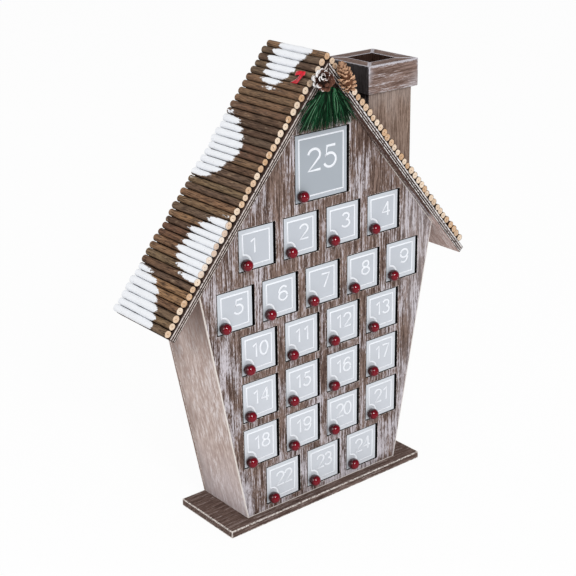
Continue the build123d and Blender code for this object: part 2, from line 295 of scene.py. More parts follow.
shaft_wood = stained_wood(
    "shaft_wood", (98, 77, 65), (150, 128, 115), (180, 166, 158), -0.2, worn=0.2, cloudy=0.7,
    shades=[("Z", 318, 338, (190, 180, 176), 0.22)],
)
cap_tones = (92, 70, 61), (142, 119, 110), (192, 185, 189), 0.1
cap_wood = stained_wood(
    "cap_wood", *cap_tones, level_grain, 0.95, frost, 0.8,
    shades=[("X", 92, 108, (200, 194, 198), 0.3), ("X", 62, 50, (196, 192, 199), 0.5)],
)
deep_cap_wood = stained_wood("deep_cap_wood", *cap_tones, deep_grain, 0.95, frost)
dark_tones = (46, 41, 42), (70, 66, 68), (100, 98, 103), 0.0
dark_wood = stained_wood("dark_wood", *dark_tones, worn=0.5, edge=(150, 148, 154))
flue_wood = stained_wood("flue_wood", (44, 24, 16), (66, 42, 32), (84, 60, 50), 0.0, worn=0.2)
# The leaves' sides: a dark stain, deepened as painted shade for the gap round each door.
leaf_side_stain_and_shade = stained_wood("leaf_side_stain_and_shade", (14, 9, 7), (26, 18, 14), (40, 31, 27), 0.0, worn=0.0)
# Near black: the dark stain of cut edges, deepened into painted shade for the gaps round the doors and under
# the roof.
gap_stain_and_shade = stained_wood("gap_stain_and_shade", (6, 4, 3), (12, 8, 7), (20, 16, 16), 0.0, worn=0.0)
inside_wood = stained_wood("inside_wood", (70, 48, 38), (104, 78, 64), (120, 100, 90), 0.1)
roof_tones = (38, 24, 19), (74, 54, 46), (120, 106, 100), -0.3
soffit_tones = (172, 144, 135), (220, 198, 191), (232, 221, 219), 0.5
roof_woods, soffit_woods = {}, {}
for side, worn, edge in ((-1, 0.72, (222, 211, 205)), (1, 0.68, (244, 240, 238))):
    turn = (0, math.radians(side * 40), 0)
    # Painted shade: the underside is dark brown above the gable, where the front panel shades it.
    corner = [("X", side * 124, side * 112, (84, 58, 49), 1.0)]
    roof_woods[side] = stained_wood(f"roof_wood_{side + 1}", *roof_tones, turn, worn, edge)
    soffit_woods[side] = stained_wood(f"soffit_wood_{side + 1}", *soffit_tones, turn, 0.2, shades=corner)
print("wood finishes:", sum("wood" in finish.name for finish in bpy.data.materials))

# %% [markdown]
# ## Boards with rounded, worn edges
# A sawn board never has knife edges. Bevelling the solids' own meshes would trip over their hinge
# bores, so each board is built again from its outline, pushed along one axis, and its edges are
# rounded with bmesh. A narrow band beside each edge gets a falling 'wear' value for the finish.

# %% Helpers for boards
# A face looks partly or mostly along a direction when that share of its normal does.
partly, mostly, sharp_angle = 0.5, 0.8, 0.3


def rectangle(left, low, right, high):
    """The four corners of an upright rectangle."""
    return [(left, low), (right, low), (right, high), (left, high)]


def prism(outline, low, high, axis="Y"):
    """A block in a bmesh: an outline in mm, pushed from low to high along one axis."""
    form = bmesh.new()
    order = (lambda u, v, w: (u, w, v)) if axis == "Y" else (lambda u, v, w: (u, v, w))
    rings = [[form.verts.new(Vector(order(u, v, w)) * MM) for u, v in outline] for w in (low, high)]
    form.faces.new(rings[0])
    form.faces.new(rings[1])
    for index in range(len(outline)):
        after = (index + 1) % len(outline)
        form.faces.new((rings[0][index], rings[0][after], rings[1][after], rings[1][index]))
    bmesh.ops.recalc_face_normals(form, faces=form.faces)
    return form


def soften(form, rounding, band):
    """Rounds the sharp edges, and notes in 'wear' which points lie on one; sizes in mm."""
    wear = form.verts.layers.float.new("wear")
    shared = [edge for edge in form.edges if len(edge.link_faces) == 2]
    sharp = [edge for edge in shared if edge.calc_face_angle() > sharp_angle]
    bevel = {"segments": 2, "profile": 0.6, "affect": "EDGES", "clamp_overlap": True}
    rounded = set(bmesh.ops.bevel(form, geom=sharp, offset=rounding * MM, **bevel)["faces"])
    flat = [face for face in form.faces if face not in rounded]
    bmesh.ops.inset_region(form, faces=flat, thickness=band * MM, use_even_offset=True, use_boundary=True)
    for face in rounded:
        face.smooth = True
        for vert in face.verts:
            vert[wear] = 1.0
    return form


def rub_edges(form, change):
    """Sets each point's wear to what change says for the wear so far and the place in mm."""
    wear = form.verts.layers.float["wear"]
    for vert in form.verts:
        vert[wear] = float(change(vert[wear], *(vert.co / MM)))
    return form


def lay_finish(form, choose):
    """Gives each face the finish of the piece's list that choose says for its normal and middle, in mm."""
    for face in form.faces:
        face.material_index = int(choose(face.normal, face.calc_center_median() / MM))
    return form


def mesh_of(form, name):
    """A bmesh as a plain mesh."""
    mesh = bpy.data.meshes.new(name)
    form.to_mesh(mesh)
    form.free()
    return mesh


def joined(parts):
    """Several bmeshes as one."""
    whole = bmesh.new()
    for part in parts:
        scratch = mesh_of(part, "scratch")
        whole.from_mesh(scratch)
        bpy.data.meshes.remove(scratch)
    return whole


def place_piece(name, mesh, finishes=(), body="house", replaces=()):
    """Puts a mesh in the scene as a piece that rides on a body and stands for its solids."""
    if isinstance(mesh, bmesh.types.BMesh):
        mesh = mesh_of(mesh, name)
    for finish in finishes:
        mesh.materials.append(finish)
    piece = bpy.data.objects.new(name, mesh)
    scene.collection.objects.link(piece)
    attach(piece, body)
    if replaces:
        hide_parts(*replaces)


print("board helpers ready")

# %% [markdown]
# ## The front panel and its door holes
# The front is one sheet with a house outline and 25 square holes. A boolean cut would leave long thin
# triangles that catch the light, so the outline and the holes are drawn as loops, filled at once by
# bmesh's triangle fill, and pushed back by the thickness of the sheet.

# %% Measure the rows and holes
floor_z, ridge_z, roof_top_z = 6.3, 370.3, 379.95
front_y, panel_rear_y, back_y, rear_y = -27.0, -23.0, 32.5, 35.5
small_hole, top_hole, top_row_z, pitch = (36.9, 35.0), (56.6, 56.0), 296.3, 44.7
rows = [(242.3, 4), (195.3, 5), (153.8, 4), (112.3, 4), (70.8, 4), (29.3, 3)]
holes = []
for height, count in rows:
    holes += [((place - (count - 1) / 2) * pitch, height, *small_hole) for place in range(count)]
holes.append((0.0, top_row_z, *top_hole))
top_number = len(holes)
foot_x, corner_x, corner_z = 83.3, 125.08, 221.24
sheet_edge, wall_edge, base_edge, leaf_rounding = (0.4, 1.3), (0.35, 1.0), (0.7, 1.6), (0.25, 0.5)
ply_edge, shaft_edge, cap_edge = (0.7, 0.1), (0.3, 0.8), (0.5, 3.4)
house = [(-foot_x, floor_z), (foot_x, floor_z), (corner_x, corner_z), (0.0, ridge_z), (-corner_x, corner_z)]
print("holes:", len(holes))


# %% Cut a sheet with openings
def holed_sheet(outline, openings, front, rear):
    """A sheet with openings, between two depths."""
    form = bmesh.new()
    loops = [outline]
    for x, z, wide, tall in openings:
        loops.append(rectangle(x - wide / 2, z - tall / 2, x + wide / 2, z + tall / 2))
    edges = []
    for loop in loops:
        verts = [form.verts.new(Vector((x, front, z)) * MM) for x, z in loop]
        edges += [form.edges.new((verts[index - 1], verts[index])) for index in range(len(verts))]
    filled = bmesh.ops.triangle_fill(form, use_beauty=True, use_dissolve=False, edges=edges)
    faces = [item for item in filled["geom"] if isinstance(item, bmesh.types.BMFace)]
    pushed = bmesh.ops.extrude_face_region(form, geom=faces)
    moved = [item for item in pushed["geom"] if isinstance(item, bmesh.types.BMVert)]
    bmesh.ops.translate(form, verts=moved, vec=(0, (rear - front) * MM, 0))
    bmesh.ops.recalc_face_normals(form, faces=form.faces)
    return form


panel = soften(holed_sheet(house, holes, front_y, panel_rear_y), *sheet_edge)
print("front points:", len(panel.verts))

# %% Wear and finish the front and back panels
rim, gable_z, outer_wear, rim_wear, gable_wear = 0.6, 222.0, 1.7, 0.85, 0.1


def in_hole(x, z):
    """True where a point lies in a door hole or on its rim."""
    return any(abs(x - u) < wide / 2 + rim and abs(z - v) < tall / 2 + rim for u, v, wide, tall in holes)


def panel_wear(worn, x, y, z):
    """On the front only: the outer edges are rubbed most, the holes' rims less, the gable hardly."""
    if y > front_y + rim:
        return 0.0
    return worn * (rim_wear if in_hole(x, z) else gable_wear if z > gable_z else outer_wear)


def panel_finish(normal, middle):
    """The sheet's edges are stained near black with painted shade in the holes and under the roof, and like
    the walls elsewhere.
    """
    if abs(normal.y) >= partly:
        return 0
    return 1 if in_hole(middle.x, middle.z) or middle.z > gable_z + 0.5 else 2


lay_finish(rub_edges(panel, panel_wear), panel_finish)
place_piece("front_sheet", panel, [front_wood, gap_stain_and_shade, side_wood], replaces=["front_panel"])
back_sheet = soften(prism(house, back_y, rear_y), *sheet_edge)
place_piece("back_sheet", back_sheet, [back_wood], replaces=["back_panel"])

# %% [markdown]
# ## Walls, base, roof boards and chimney
# The walls lean outwards, the base is one thick board, and the roof boards show the layers of their
# plywood on every edge. Drawing the layers as stripes would look printed on, so each roof board is
# three thin plies, rounded one by one: the grooves between them are real, and only the plies' cut faces
# are rubbed. Beside the gable the underside was brushed along with it, so a strip there gets that finish.

# %% Make the walls and the base
wall_outline = [(foot_x, floor_z), (corner_x, corner_z), (121.77, 225.18), (79.22, floor_z)]
base_x, base_y, unworn = 106.5, 35.5, 1.5
for name, side in (("left_wall", -1), ("right_wall", 1)):
    wall = soften(prism([(side * x, z) for x, z in wall_outline], panel_rear_y, back_y), *wall_edge)
    rub_edges(wall, lambda worn, x, y, z: worn * (y > panel_rear_y + unworn))
    place_piece(f"{name}_board", wall, [side_wood], replaces=[name])
base = soften(prism(rectangle(-base_x, -base_y, base_x, base_y), 0.0, floor_z, "Z"), *base_edge)
place_piece("base_plank", base, [base_wood], replaces=["base_board"])
print("wall top at", wall_outline[2])

# %% Shape the roof's plies
slope = math.radians(50)
ply_heights = [0.0, 1.9, 3.8, 6.2]
eave_x, eave_z, roof_front, roof_rear = 153, 187.96, -34.5, 39.0
strip_front, strip_end, touch = -31.2, 120, 0.05


def roof_ply(side, under, over):
    """One ply of a roof board, between two heights above the underside, rubbed on its cut faces only."""
    eave = [(eave_x + lift * math.sin(slope), eave_z + lift * math.cos(slope)) for lift in (under, over)]
    ridge = [(0, ridge_z + lift / math.cos(slope)) for lift in (under, over)]
    outline = [(side * x, z) for x, z in (ridge[0], *eave, ridge[1])]

    def cut_face(worn, x, y, z):
        to_eave = (side * x - eave_x) * math.cos(slope) - (z - eave_z) * math.sin(slope)
        return min(abs(y - roof_front), abs(y - roof_rear), abs(to_eave)) < touch

    return rub_edges(soften(prism(outline, roof_front, roof_rear), *ply_edge), cut_face)


def ply_finish(side, normal, middle):
    """The underside is paler, and brushed like the front in a strip beside the gable."""
    if normal.dot((-side * math.sin(slope), 0, -math.cos(slope))) <= mostly:
        return 0
    return 2 if strip_front < middle.y < front_y and abs(middle.x) < strip_end else 1


print("plies in a board:", len(ply_heights) - 1)

# %% Make the roof boards from plies
for name, side in (("left_roof_board", -1), ("right_roof_board", 1)):
    plies = joined([roof_ply(side, under, over) for under, over in zip(ply_heights, ply_heights[1:])])
    cuts = [((0, depth, 0), (0, 1, 0)) for depth in (strip_front, front_y)]
    for point, direction in [*cuts, ((side * strip_end, 0, 0), (1, 0, 0))]:
        everything = [*plies.verts, *plies.edges, *plies.faces]
        bmesh.ops.bisect_plane(plies, geom=everything, plane_co=Vector(point) * MM, plane_no=direction)
    lay_finish(plies, lambda normal, middle: ply_finish(side, normal, middle))
    finishes = [roof_woods[side], soffit_woods[side], front_wood]
    place_piece(f"{name}_plies", plies, finishes, replaces=[name])
print("roof plies:", 2 * (len(ply_heights) - 1))

# %% Make the chimney's shaft
chimney_x, chimney_y, shaft_top, cap_top = 79.9, 4.25, 342.93, 365.93
for name in ("front", "rear", "left", "right"):
    low, high = (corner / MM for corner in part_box(f"chimney_{name}_board"))
    feet = [roof_top_z - x * math.tan(slope) for x in (low.x, high.x)]
    outline = [(low.x, feet[0]), (high.x, feet[1]), (high.x, high.z), (low.x, high.z)]
    shaft = soften(prism(outline, low.y, high.y), *shaft_edge)
    lay_finish(shaft, lambda normal, middle: normal.x < -mostly)
    place_piece(f"shaft_{name}", shaft, [shaft_wood, dark_wood], replaces=[f"chimney_{name}_board"])
print("shaft top at", shaft_top)

# %% Make the chimney's cap
outer, inner, mitre, mitre_end, cap_rim, flue_rim, faint_wear = 27.5, 14.0, 0.9, 0.7, 1, 0.4, 0.3
bar = [(-outer, -outer), (outer, -outer), (inner, -inner), (-inner, -inner)]


def cap_wear(worn, x, y, z):
    """The mitres are unworn between their ends; the lower edges and the far side are rubbed less."""
    aside, deep = abs(x - chimney_x), abs(y - chimney_y)
    if abs(aside - deep) < mitre and inner + mitre_end < max(aside, deep) < outer - mitre_end:
        return 0.0
    far = x > chimney_x + outer - cap_rim and z < cap_top - cap_rim
    return worn * (faint_wear if far or z < shaft_top + cap_rim else 1.0)


def cap_finish(name, normal, middle):
    """Dark inside the flue, and dark on the side towards the ridge."""
    if name == "left" and normal.x < -mostly:
        return 1
    aside, deep = abs(middle.x - chimney_x), abs(middle.y - chimney_y)
    return 2 if abs(normal.z) < partly and max(aside, deep) < inner + flue_rim else 0


for turn, name in enumerate(("front", "right", "rear", "left")):
    cosine, sine = math.cos(math.radians(90 * turn)), math.sin(math.radians(90 * turn))
    outline = [(chimney_x + x * cosine - y * sine, chimney_y + x * sine + y * cosine) for x, y in bar]
    block = rub_edges(soften(prism(outline, shaft_top, cap_top, "Z"), *cap_edge), cap_wear)
    lay_finish(block, lambda normal, middle: cap_finish(name, normal, middle))
    grained = cap_wood if name in ("front", "rear") else deep_cap_wood
    place_piece(f"cap_{name}", block, [grained, dark_wood, flue_wood], replaces=["chimney_cap"])
print("chimney top at", cap_top)

# %% [markdown]
# ## Shelves, dividers and pins
# What lies behind the doors is plain and square, and the solids already have its shape. They stay as
# they are and only get a finish, which is the cheapest honest way for parts that few people see.

# %% Give the kept solids a finish
steel, place = new_finish("pin_steel", Metallic=1.0)
drawn = noise(place, 0.3, (1, 1, 0.05))
steel_tone = mix(drawn, (120, 120, 124), (178, 178, 182))
surface(place, Base_Color=steel_tone, Roughness=0.28 + drawn * 0.25)
kept = 0
for name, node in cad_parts.items():
    if name.startswith(("shelf_", "dividers_", "hinge_pins")):
        node.data.materials.clear()
        node.data.materials.append(steel if name == "hinge_pins" else inside_wood)
        kept += 1
print("solids kept:", kept)

# %% [markdown]
# ## Growing pieces with Geometry Nodes
# Printed lines, twigs, scales and needles all follow a path or repeat. Copying meshes in a loop would
# hide the rule, so each is a node tree with named sizes. `grow` runs a tree on a source mesh once,
# keeps the plain mesh that comes out, and takes the modifier away again.


# %% Helpers for growing
def new_tree(name, sizes):
    """An empty node tree with a geometry input and output and named sizes; gives the tree and its wires."""
    tree = bpy.data.node_groups.new(name, "GeometryNodeTree")
    tree.interface.new_socket("Geometry", in_out="INPUT", socket_type="NodeSocketGeometry")
    for label in sizes:
        tree.interface.new_socket(label, in_out="INPUT", socket_type="NodeSocketFloat")
    tree.interface.new_socket("Geometry", in_out="OUTPUT", socket_type="NodeSocketGeometry")
    entry = tree.nodes.new("NodeGroupInput")
    return tree, [Wire(tree, socket) for socket in entry.outputs if socket.name]


def end_tree(shape, finish):
    """Realizes the instances, sets the finish, and closes the tree."""
    solid = shape.node("GeometryNodeRealizeInstances", {"Geometry": shape})
    painted = shape.node("GeometryNodeSetMaterial", {"Geometry": solid, "Material": finish})
    shape.plug(shape.tree.nodes.new("NodeGroupOutput").inputs[0], painted)


def carried(wire, name):
    """A number that the paths carry under a name."""
    return wire.node("GeometryNodeInputNamedAttribute", {"Name": name}, data_type="FLOAT")


def noted(shape, name, value, kind="FLOAT", domain="POINT"):
    """The shape with a value noted on its points or faces under a name."""
    inputs = {"Geometry": shape, "Name": name, "Value": value}
    return shape.node("GeometryNodeStoreNamedAttribute", inputs, data_type=kind, domain=domain)


def resampled(curve, count):
    """The curves with an even count of points on each."""
    return curve.node("GeometryNodeResampleCurve", {"Curve": curve, "Count": count}, mode="COUNT")


def ring(curve, sides):
    """A ring of radius 1 to sweep along curves."""
    inputs = {"Resolution": sides, "Radius": 1.0}
    return curve.node("GeometryNodeCurvePrimitiveCircle", inputs, mode="RADIUS")


def sweep(curve, profile, thick):
    """A profile swept along curves, as thick as a wire says, with closed ends."""
    inputs = {"Curve": curve, "Profile Curve": profile, "Scale": thick, "Fill Caps": True}
    return curve.node("GeometryNodeCurveToMesh", inputs)


def grow(source, tree, sizes):
    """Runs a tree on a source mesh with the named sizes, and gives the plain mesh."""
    grower = bpy.data.objects.new("grower", source)
    scene.collection.objects.link(grower)
    modifier = grower.modifiers.new("grow", "NODES")
    modifier.node_group = tree
    for item in tree.interface.items_tree:
        if item.item_type == "SOCKET" and item.in_out == "INPUT" and item.name in sizes:
            modifier[item.identifier] = sizes[item.name]
    graph = bpy.context.evaluated_depsgraph_get()
    grown = grower.evaluated_get(graph)
    mesh = bpy.data.meshes.new_from_object(grown, preserve_all_data_layers=True, depsgraph=graph)
    grower.modifiers.clear()
    bpy.data.objects.remove(grower)
    bpy.data.meshes.remove(source)
    return mesh


def path_mesh(paths, closed=(), **values):
    """Edges through each path's points, in mm, with one value for each path under each name."""
    verts, edges, columns = [], [], {name: [] for name in values}
    for number, path in enumerate(paths):
        first = len(verts)
        verts += [Vector(point) * MM for point in path]
        edges += [(first + index, first + index + 1) for index in range(len(path) - 1)]
        if number in closed:
            edges.append((first + len(path) - 1, first))
        for name in values:
            columns[name] += [values[name][number]] * len(path)
    mesh = bpy.data.meshes.new("paths")
    mesh.from_pydata(verts, edges, [])
    for name, column in columns.items():
        mesh.attributes.new(name, "FLOAT", "POINT").data.foreach_set("value", column)
    return mesh


print("growing helpers ready")

# %% [markdown]
# ## Door leaves
# Each door is a small painted leaf that fills its hole but for a thin gap, wider on the hinge side. The
# field inside the printed border is a shade deeper than the rim round it, and the edges stay dark with
# stain, deepened to paint the shade in the gap. Painting that by texture would need a map for each door,
# so the leaf's front face is inset once, the inner face is marked, and the edges get the dark finish.


# %% Mix the door paint and the print
def door_paint(name, field_colour, rim_colour):
    """Thin grey paint, rolled on, with a slightly paler rim, chipped edges and more white low down."""
    material, place = new_finish(name, Specular_IOR_Level=0.4)
    rolled = noise(place, 0.8, rough=0.6)
    cloud = noise(place, 9.0, (1, 1, 0.6), 2.0)
    colour = mix(attribute(place, "field"), rim_colour, field_colour)
    low = step(along(place, "Z") + (cloud - 0.5) * 50, 250, 80)
    colour = mix(low * 0.4, colour, (222, 225, 231))
    chip = step(attribute(place, "wear") + rolled * 0.9, 1.5, 1.62)
    colour = mix(chip * 0.6, colour, (186, 178, 174))
    surface(place, Base_Color=colour, Roughness=0.5 + rolled * 0.16, Normal=bump(rolled, 0.05, 0.6))
    return material


small_paint = door_paint("door_paint", (190, 195, 203), (198, 203, 210))
top_paint = door_paint("top_door_paint", (164, 171, 179), (176, 182, 190))
white_print, place = new_finish("white_print", Specular_IOR_Level=0.4)
speckle = noise(place, 0.5, detail=2.0)
white = mix(step(speckle, 0.3, 0.6), (232, 236, 244), (245, 248, 253))
surface(place, Base_Color=white, Roughness=0.45 + speckle * 0.15)
print("door paints:", small_paint.name, top_paint.name)

# %% Cut the leaves
swing_gap, hinge_gap, leaf_front, leaf_rear = 0.7, 2.4, -26.7, -23.3
border, field_inset = 3.7, 2.8


def leaf_box(x, z, wide, tall):
    """The leaf's left, bottom, right and top edges in its hole."""
    left, right = x - wide / 2 + swing_gap, x + wide / 2 - hinge_gap
    return left, z - tall / 2 + swing_gap, right, z + tall / 2 - swing_gap


def door_leaf(*hole):
    """A leaf with eased edges and an inner field on its front."""
    form = soften(prism(rectangle(*leaf_box(*hole)), leaf_front, leaf_rear), *leaf_rounding)
    field = form.faces.layers.float.new("field")
    lay_finish(form, lambda normal, middle: abs(normal.y) < partly)
    front = max((face for face in form.faces if face.normal.y < -mostly), key=lambda face: face.calc_area())
    bmesh.ops.inset_individual(form, faces=[front], thickness=field_inset * MM, use_even_offset=True)
    front[field] = 1.0
    return form


for number, hole in enumerate(holes, start=1):
    finishes = [top_paint if number == top_number else small_paint, leaf_side_stain_and_shade]
    door = f"door_{number:02d}"
    place_piece(f"leaf_{number:02d}", door_leaf(*hole), finishes, f"{door}_body", [door])
print("leaves:", len(holes))

# %% [markdown]
# ## Borders and numbers
# The border and the number are printed in white on each leaf. A text object would bring a typeface of
# its own, so the plain numerals are drawn as strokes, arcs and straight runs, and one node tree sweeps
# a flat strip along them and along the border, which steps round the bead.


# %% Draw the strokes of the numerals
def arc(x, z, wide, tall, start, stop, steps=18):
    """Points along part of an ellipse, from one angle to another in degrees."""
    angles = [math.radians(start + (stop - start) * share / steps) for share in range(steps + 1)]
    return [(x + wide * math.cos(angle), z + tall * math.sin(angle)) for angle in angles]


six = [arc(0.44, 0.5, 0.40, 0.5, 50, 172, 14), arc(0.40, 0.31, 0.36, 0.31, 0, 350, 28)]
numerals = {
    "0": (0.80, [arc(0.40, 0.5, 0.36, 0.5, 90, 443, 30)]),
    "1": (0.80, [[(0.18, 0.80), (0.50, 1.0), (0.50, 0.0)]]),
    "2": (0.80, [arc(0.40, 0.71, 0.35, 0.29, 170, -34) + [(0.05, 0.0), (0.77, 0.0)]]),
    "3": (0.80, [arc(0.38, 0.765, 0.31, 0.235, 158, -88), arc(0.38, 0.265, 0.36, 0.265, 88, -162)]),
    "4": (0.82, [[(0.60, 0.0), (0.60, 1.0)], [(0.60, 1.0), (0.04, 0.28), (0.80, 0.28)]]),
    "5": (0.80, [[(0.71, 1.0), (0.21, 1.0), (0.13, 0.53)] + arc(0.38, 0.325, 0.365, 0.325, 132, -158)]),
    "6": (0.80, six),
    "7": (0.78, [[(0.04, 1.0), (0.76, 1.0), (0.28, 0.0)]]),
    "8": (0.80, [arc(0.40, 0.765, 0.285, 0.235, -90, 264), arc(0.40, 0.265, 0.36, 0.265, 90, 444)]),
    "9": (0.80, [[(0.80 - x, 1 - z) for x, z in stroke] for stroke in six]),
}
print("numerals:", "".join(numerals))

# %% Lay out a number and a border
bead_inset, bead_rise, notch, notch_steps = 5.1, 6.7, 7.0, 12
top_sign, small_sign = (17.4, 2.2, 5.3), (11.8, 1.7, 2.2)
wide_set, tight_set = (1.0, 0.16), (0.9, 0.03)
one_aside, digit_aside, teen_aside, twenty_aside = -3.4, 2.9, 0.3, 1.0


def number_layout(number):
    """Height, line width, lift and place aside in mm, and slimness and spacing as shares, of a number."""
    if number == top_number:
        return *top_sign, 0.0, *wide_set
    if number < 10:
        return *small_sign, one_aside if number == 1 else digit_aside, *wide_set
    return *small_sign, teen_aside if number < 20 else twenty_aside, *tight_set


def number_strokes(text, x, z, tall, slim, space):
    """The strokes of a number, centred on a point; the signs' widths and gaps are shares of their height."""
    left = x - tall * (sum(numerals[sign][0] * slim for sign in text) + space * (len(text) - 1)) / 2
    strokes = []
    for sign in text:
        width, shapes = numerals[sign]
        strokes += [[(left + u * slim * tall, z + (v - 0.5) * tall) for u, v in shape] for shape in shapes]
        left += (width * slim + space) * tall
    return strokes


def border_stroke(x, z, wide, tall, notched):
    """The border round a leaf's field, stepping round the bead where it is notched."""
    left, bottom, right, top = leaf_box(x, z, wide, tall)
    left, bottom, right, top = left + border, bottom + border, right - border, top - border
    corners = [(left, top), (right, top), (right, bottom)]
    if not notched:
        return [*corners, (left, bottom)]
    bead_x, bead_z = x - wide / 2 + bead_inset, z - tall / 2 + bead_rise
    start = math.degrees(math.asin((bottom - bead_z) / notch))
    stop = math.degrees(math.acos((left - bead_x) / notch))
    return [*corners, *arc(bead_x, bead_z, notch, notch, start, stop, notch_steps)]


print("strokes of 25:", len(number_strokes("25", 0, 0, 1, 1, 0)))

# %% Sweep the print along the strokes
border_line, print_gap, layer_gap, print_share = 1.75, 0.02, 0.015, 0.1
print_tree, (paths, proud) = new_tree("printed_line", ["Proud"])
curve = paths.node("GeometryNodeMeshToCurve", {"Mesh": paths})
facing = curve.node("GeometryNodeSetCurveNormal", {"Curve": curve, "Normal": (0, 1, 0)}, mode="FREE")
oblong = {"Width": proud, "Height": 1.0}
strip = facing.node("GeometryNodeCurvePrimitiveQuadrilateral", oblong, mode="RECTANGLE")
end_tree(sweep(facing, strip, carried(facing, "line")), white_print)
for number, (x, z, wide, tall) in enumerate(holes, start=1):
    digit, line, lift, aside, slim, space = number_layout(number)
    strokes = [border_stroke(x, z, wide, tall, number < top_number)]
    strokes += number_strokes(str(number), x + aside, z + lift, digit, slim, space)
    layers = []
    for layer, stroke in enumerate(strokes):
        depth = leaf_front - print_gap - layer_gap * layer
        layers.append([(u, depth, v) for u, v in stroke])
    lines = [border_line * MM] + [line * MM] * (len(strokes) - 1)
    mesh = grow(path_mesh(layers, closed=[0], line=lines), print_tree, {"Proud": print_share})
    place_piece(f"print_{number:02d}", mesh, body=f"door_{number:02d}_body")

# %% [markdown]
# ## Bead knobs
# The knobs are lacquered wooden beads, glued on by a small flat. A ready-made sphere has no flat and no
# thread hole, so a profile with both is spun about its axis, and the one mesh is copied to every door.


# %% Turn the beads
def spun(profile, axis, steps):
    """A profile in mm, turned once round an axis through the origin."""
    form = bmesh.new()
    line = [form.verts.new(Vector(point) * MM) for point in profile]
    edges = [form.edges.new(pair) for pair in zip(line, line[1:])]
    turn = {"axis": axis, "cent": (0, 0, 0), "steps": steps, "angle": 2 * math.pi, "use_merge": True}
    bmesh.ops.spin(form, geom=edges, **turn)
    bmesh.ops.remove_doubles(form, verts=form.verts, dist=1e-6)
    bmesh.ops.recalc_face_normals(form, faces=form.faces)
    return form


coat = {"Coat_Weight": 1.0, "Coat_Roughness": 0.08, "Coat_IOR": 1.75}
bead_red, place = new_finish("bead_red", Specular_IOR_Level=0.05, **coat)
lacquer = noise(place, 2.4, detail=2.0)
# Painted shade: the bead is bright red where it faces forward and darkens towards its rim.
rim_painted_shade = step(attribute(place, "facing") + (lacquer - 0.5) * 0.3, 0.1, 1.0)
surface(place, Base_Color=mix(rim_painted_shade, (44, 0, 7), (124, 0, 24)), Roughness=0.22 + lacquer * 0.12)
bead_radius, bead_middle, bead_sides = 5, 4.2, 28
seat_angle, bead_turn, bead_steps = -57, 140, 15
thread_hole = [(0.45, 9.12), (0.3, 8.8), (0.0, 8.75)]
angles = [math.radians(seat_angle + bead_turn * share / bead_steps) for share in range(bead_steps + 1)]
ball = [(bead_radius * math.cos(angle), bead_radius * math.sin(angle) + bead_middle) for angle in angles]
profile = [(0.0, 0.0), *ball, *thread_hole]
form = spun([(radius, -out, 0) for radius, out in profile], (0, 1, 0), bead_sides)
# 'facing' is 1 at the bead's front and falls to 0 at its rim, for the painted shade.
facing = form.verts.layers.float.new("facing")
for face in form.faces:
    face.smooth = True
for vert in form.verts:
    vert[facing] = -(vert.co.y / MM + bead_middle) / bead_radius
bead = mesh_of(form, "bead")
for number, (x, z, wide, tall) in enumerate(holes, start=1):
    mesh = bead.copy()
    seat = Vector((x - wide / 2 + bead_inset, leaf_front, z - tall / 2 + bead_rise))
    mesh.transform(Matrix.Translation(seat * MM))
    place_piece(f"bead_{number:02d}", mesh, [bead_red], f"door_{number:02d}_body")
print("bead faces:", len(bead.polygons))

# %% [markdown]
# ## Twigs on the roof
# The slopes are covered with thin round twigs, each a little bent and uneven, cut square so that the
# ends show rings. The solids already say where each twig lies, so its axis and girth are read from
# them; one node tree bends the axis, swells it with noise, and sweeps a ring along it.

# %% Read the twigs from the solids
weld, end_touch = 2e-6, 0.01


def twig_axes(node):
    """(front point, rear point, girth) of each separate twig of a node, in mm."""
    form = bmesh.new()
    form.from_mesh(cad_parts[node].data)
    bmesh.ops.remove_doubles(form, verts=form.verts, dist=weld)
    left, twigs = set(form.verts), []
    for start in form.verts:
        if start not in left:
            continue
        left.remove(start)
        stack, island = [start], []
        while stack:
            vert = stack.pop()
            island.append(vert.co / MM)
            near = [edge.other_vert(vert) for edge in vert.link_edges if edge.other_vert(vert) in left]
            left.difference_update(near)
            stack += near
        ends = [min(spot.y for spot in island), max(spot.y for spot in island)]
        rings = [[spot for spot in island if abs(spot.y - end) < end_touch] for end in ends]
        points = [sum(found, Vector()) / len(found) for found in rings]
        girth = sum((found[0] - point).length for found, point in zip(rings, points)) / 2
        twigs.append((points[0], points[1], girth))
    form.free()
    return sorted(twigs, key=lambda twig: (round(twig[0].x, 1), twig[0].y))


twigs = {side: twig_axes(f"{name}_roof_twigs") for name, side in (("left", -1), ("right", 1))}
print("twigs:", {side: len(found) for side, found in twigs.items()})

# %% [markdown]
# ## Bark, cut ends and painted snow
# Bark is grey-brown and runs along the twig; a cut end is pale with rings and a dark rim of bark. The
# snow is white paint in four rounded patches on the left slope, dabbed on from above, so it thins into
# tongues along each twig's crest. All of it is one finish that reads where a point lies on its twig.

# %% Lay the snow
snow_patches = [
    (-2, 4, 38.5, 20, 0.08), (92, 38, 31, 39, 0.0), (172, -36, 29, 42, 0.0), (250, 45, 50, 62, 0.0),
]


def painted_snow(place, chance):
    """The mask of the snow: how far a point lies inside a patch, plus how near it is to a twig's crest."""
    down = along(place, "X") * -math.cos(slope) - (along(place, "Z") - roof_top_z) * math.sin(slope)
    deep = along(place, "Y") + (chance - 0.5) * 4.5
    inside = None
    for middle_down, middle_deep, long, wide, skew in snow_patches:
        over = (down - middle_down) / long
        aside = (deep - middle_deep - down * skew) / wide
        share = (1 - place.math("SQRT", over * over + aside * aside)) * (min(long, wide) / 10)
        inside = share if inside is None else place.math("MAXIMUM", inside, share)
    ragged = noise(place, 1.3, (1, 0.4, 1), 3.0, 0.6)
    crest = attribute(place, "crest")
    return step(inside + (crest - 0.95) * 0.68 + (ragged - 0.5) * 0.8, -0.06, 0.06)


print("snow patches:", len(snow_patches))

# %% Mix the bark finish
bark_tones = [
    (0.15, (104, 80, 64)), (0.32, (148, 112, 84)), (0.48, (136, 114, 86)),
    (0.62, (110, 88, 74)), (0.78, (166, 128, 92)), (0.9, (124, 88, 68)),
]


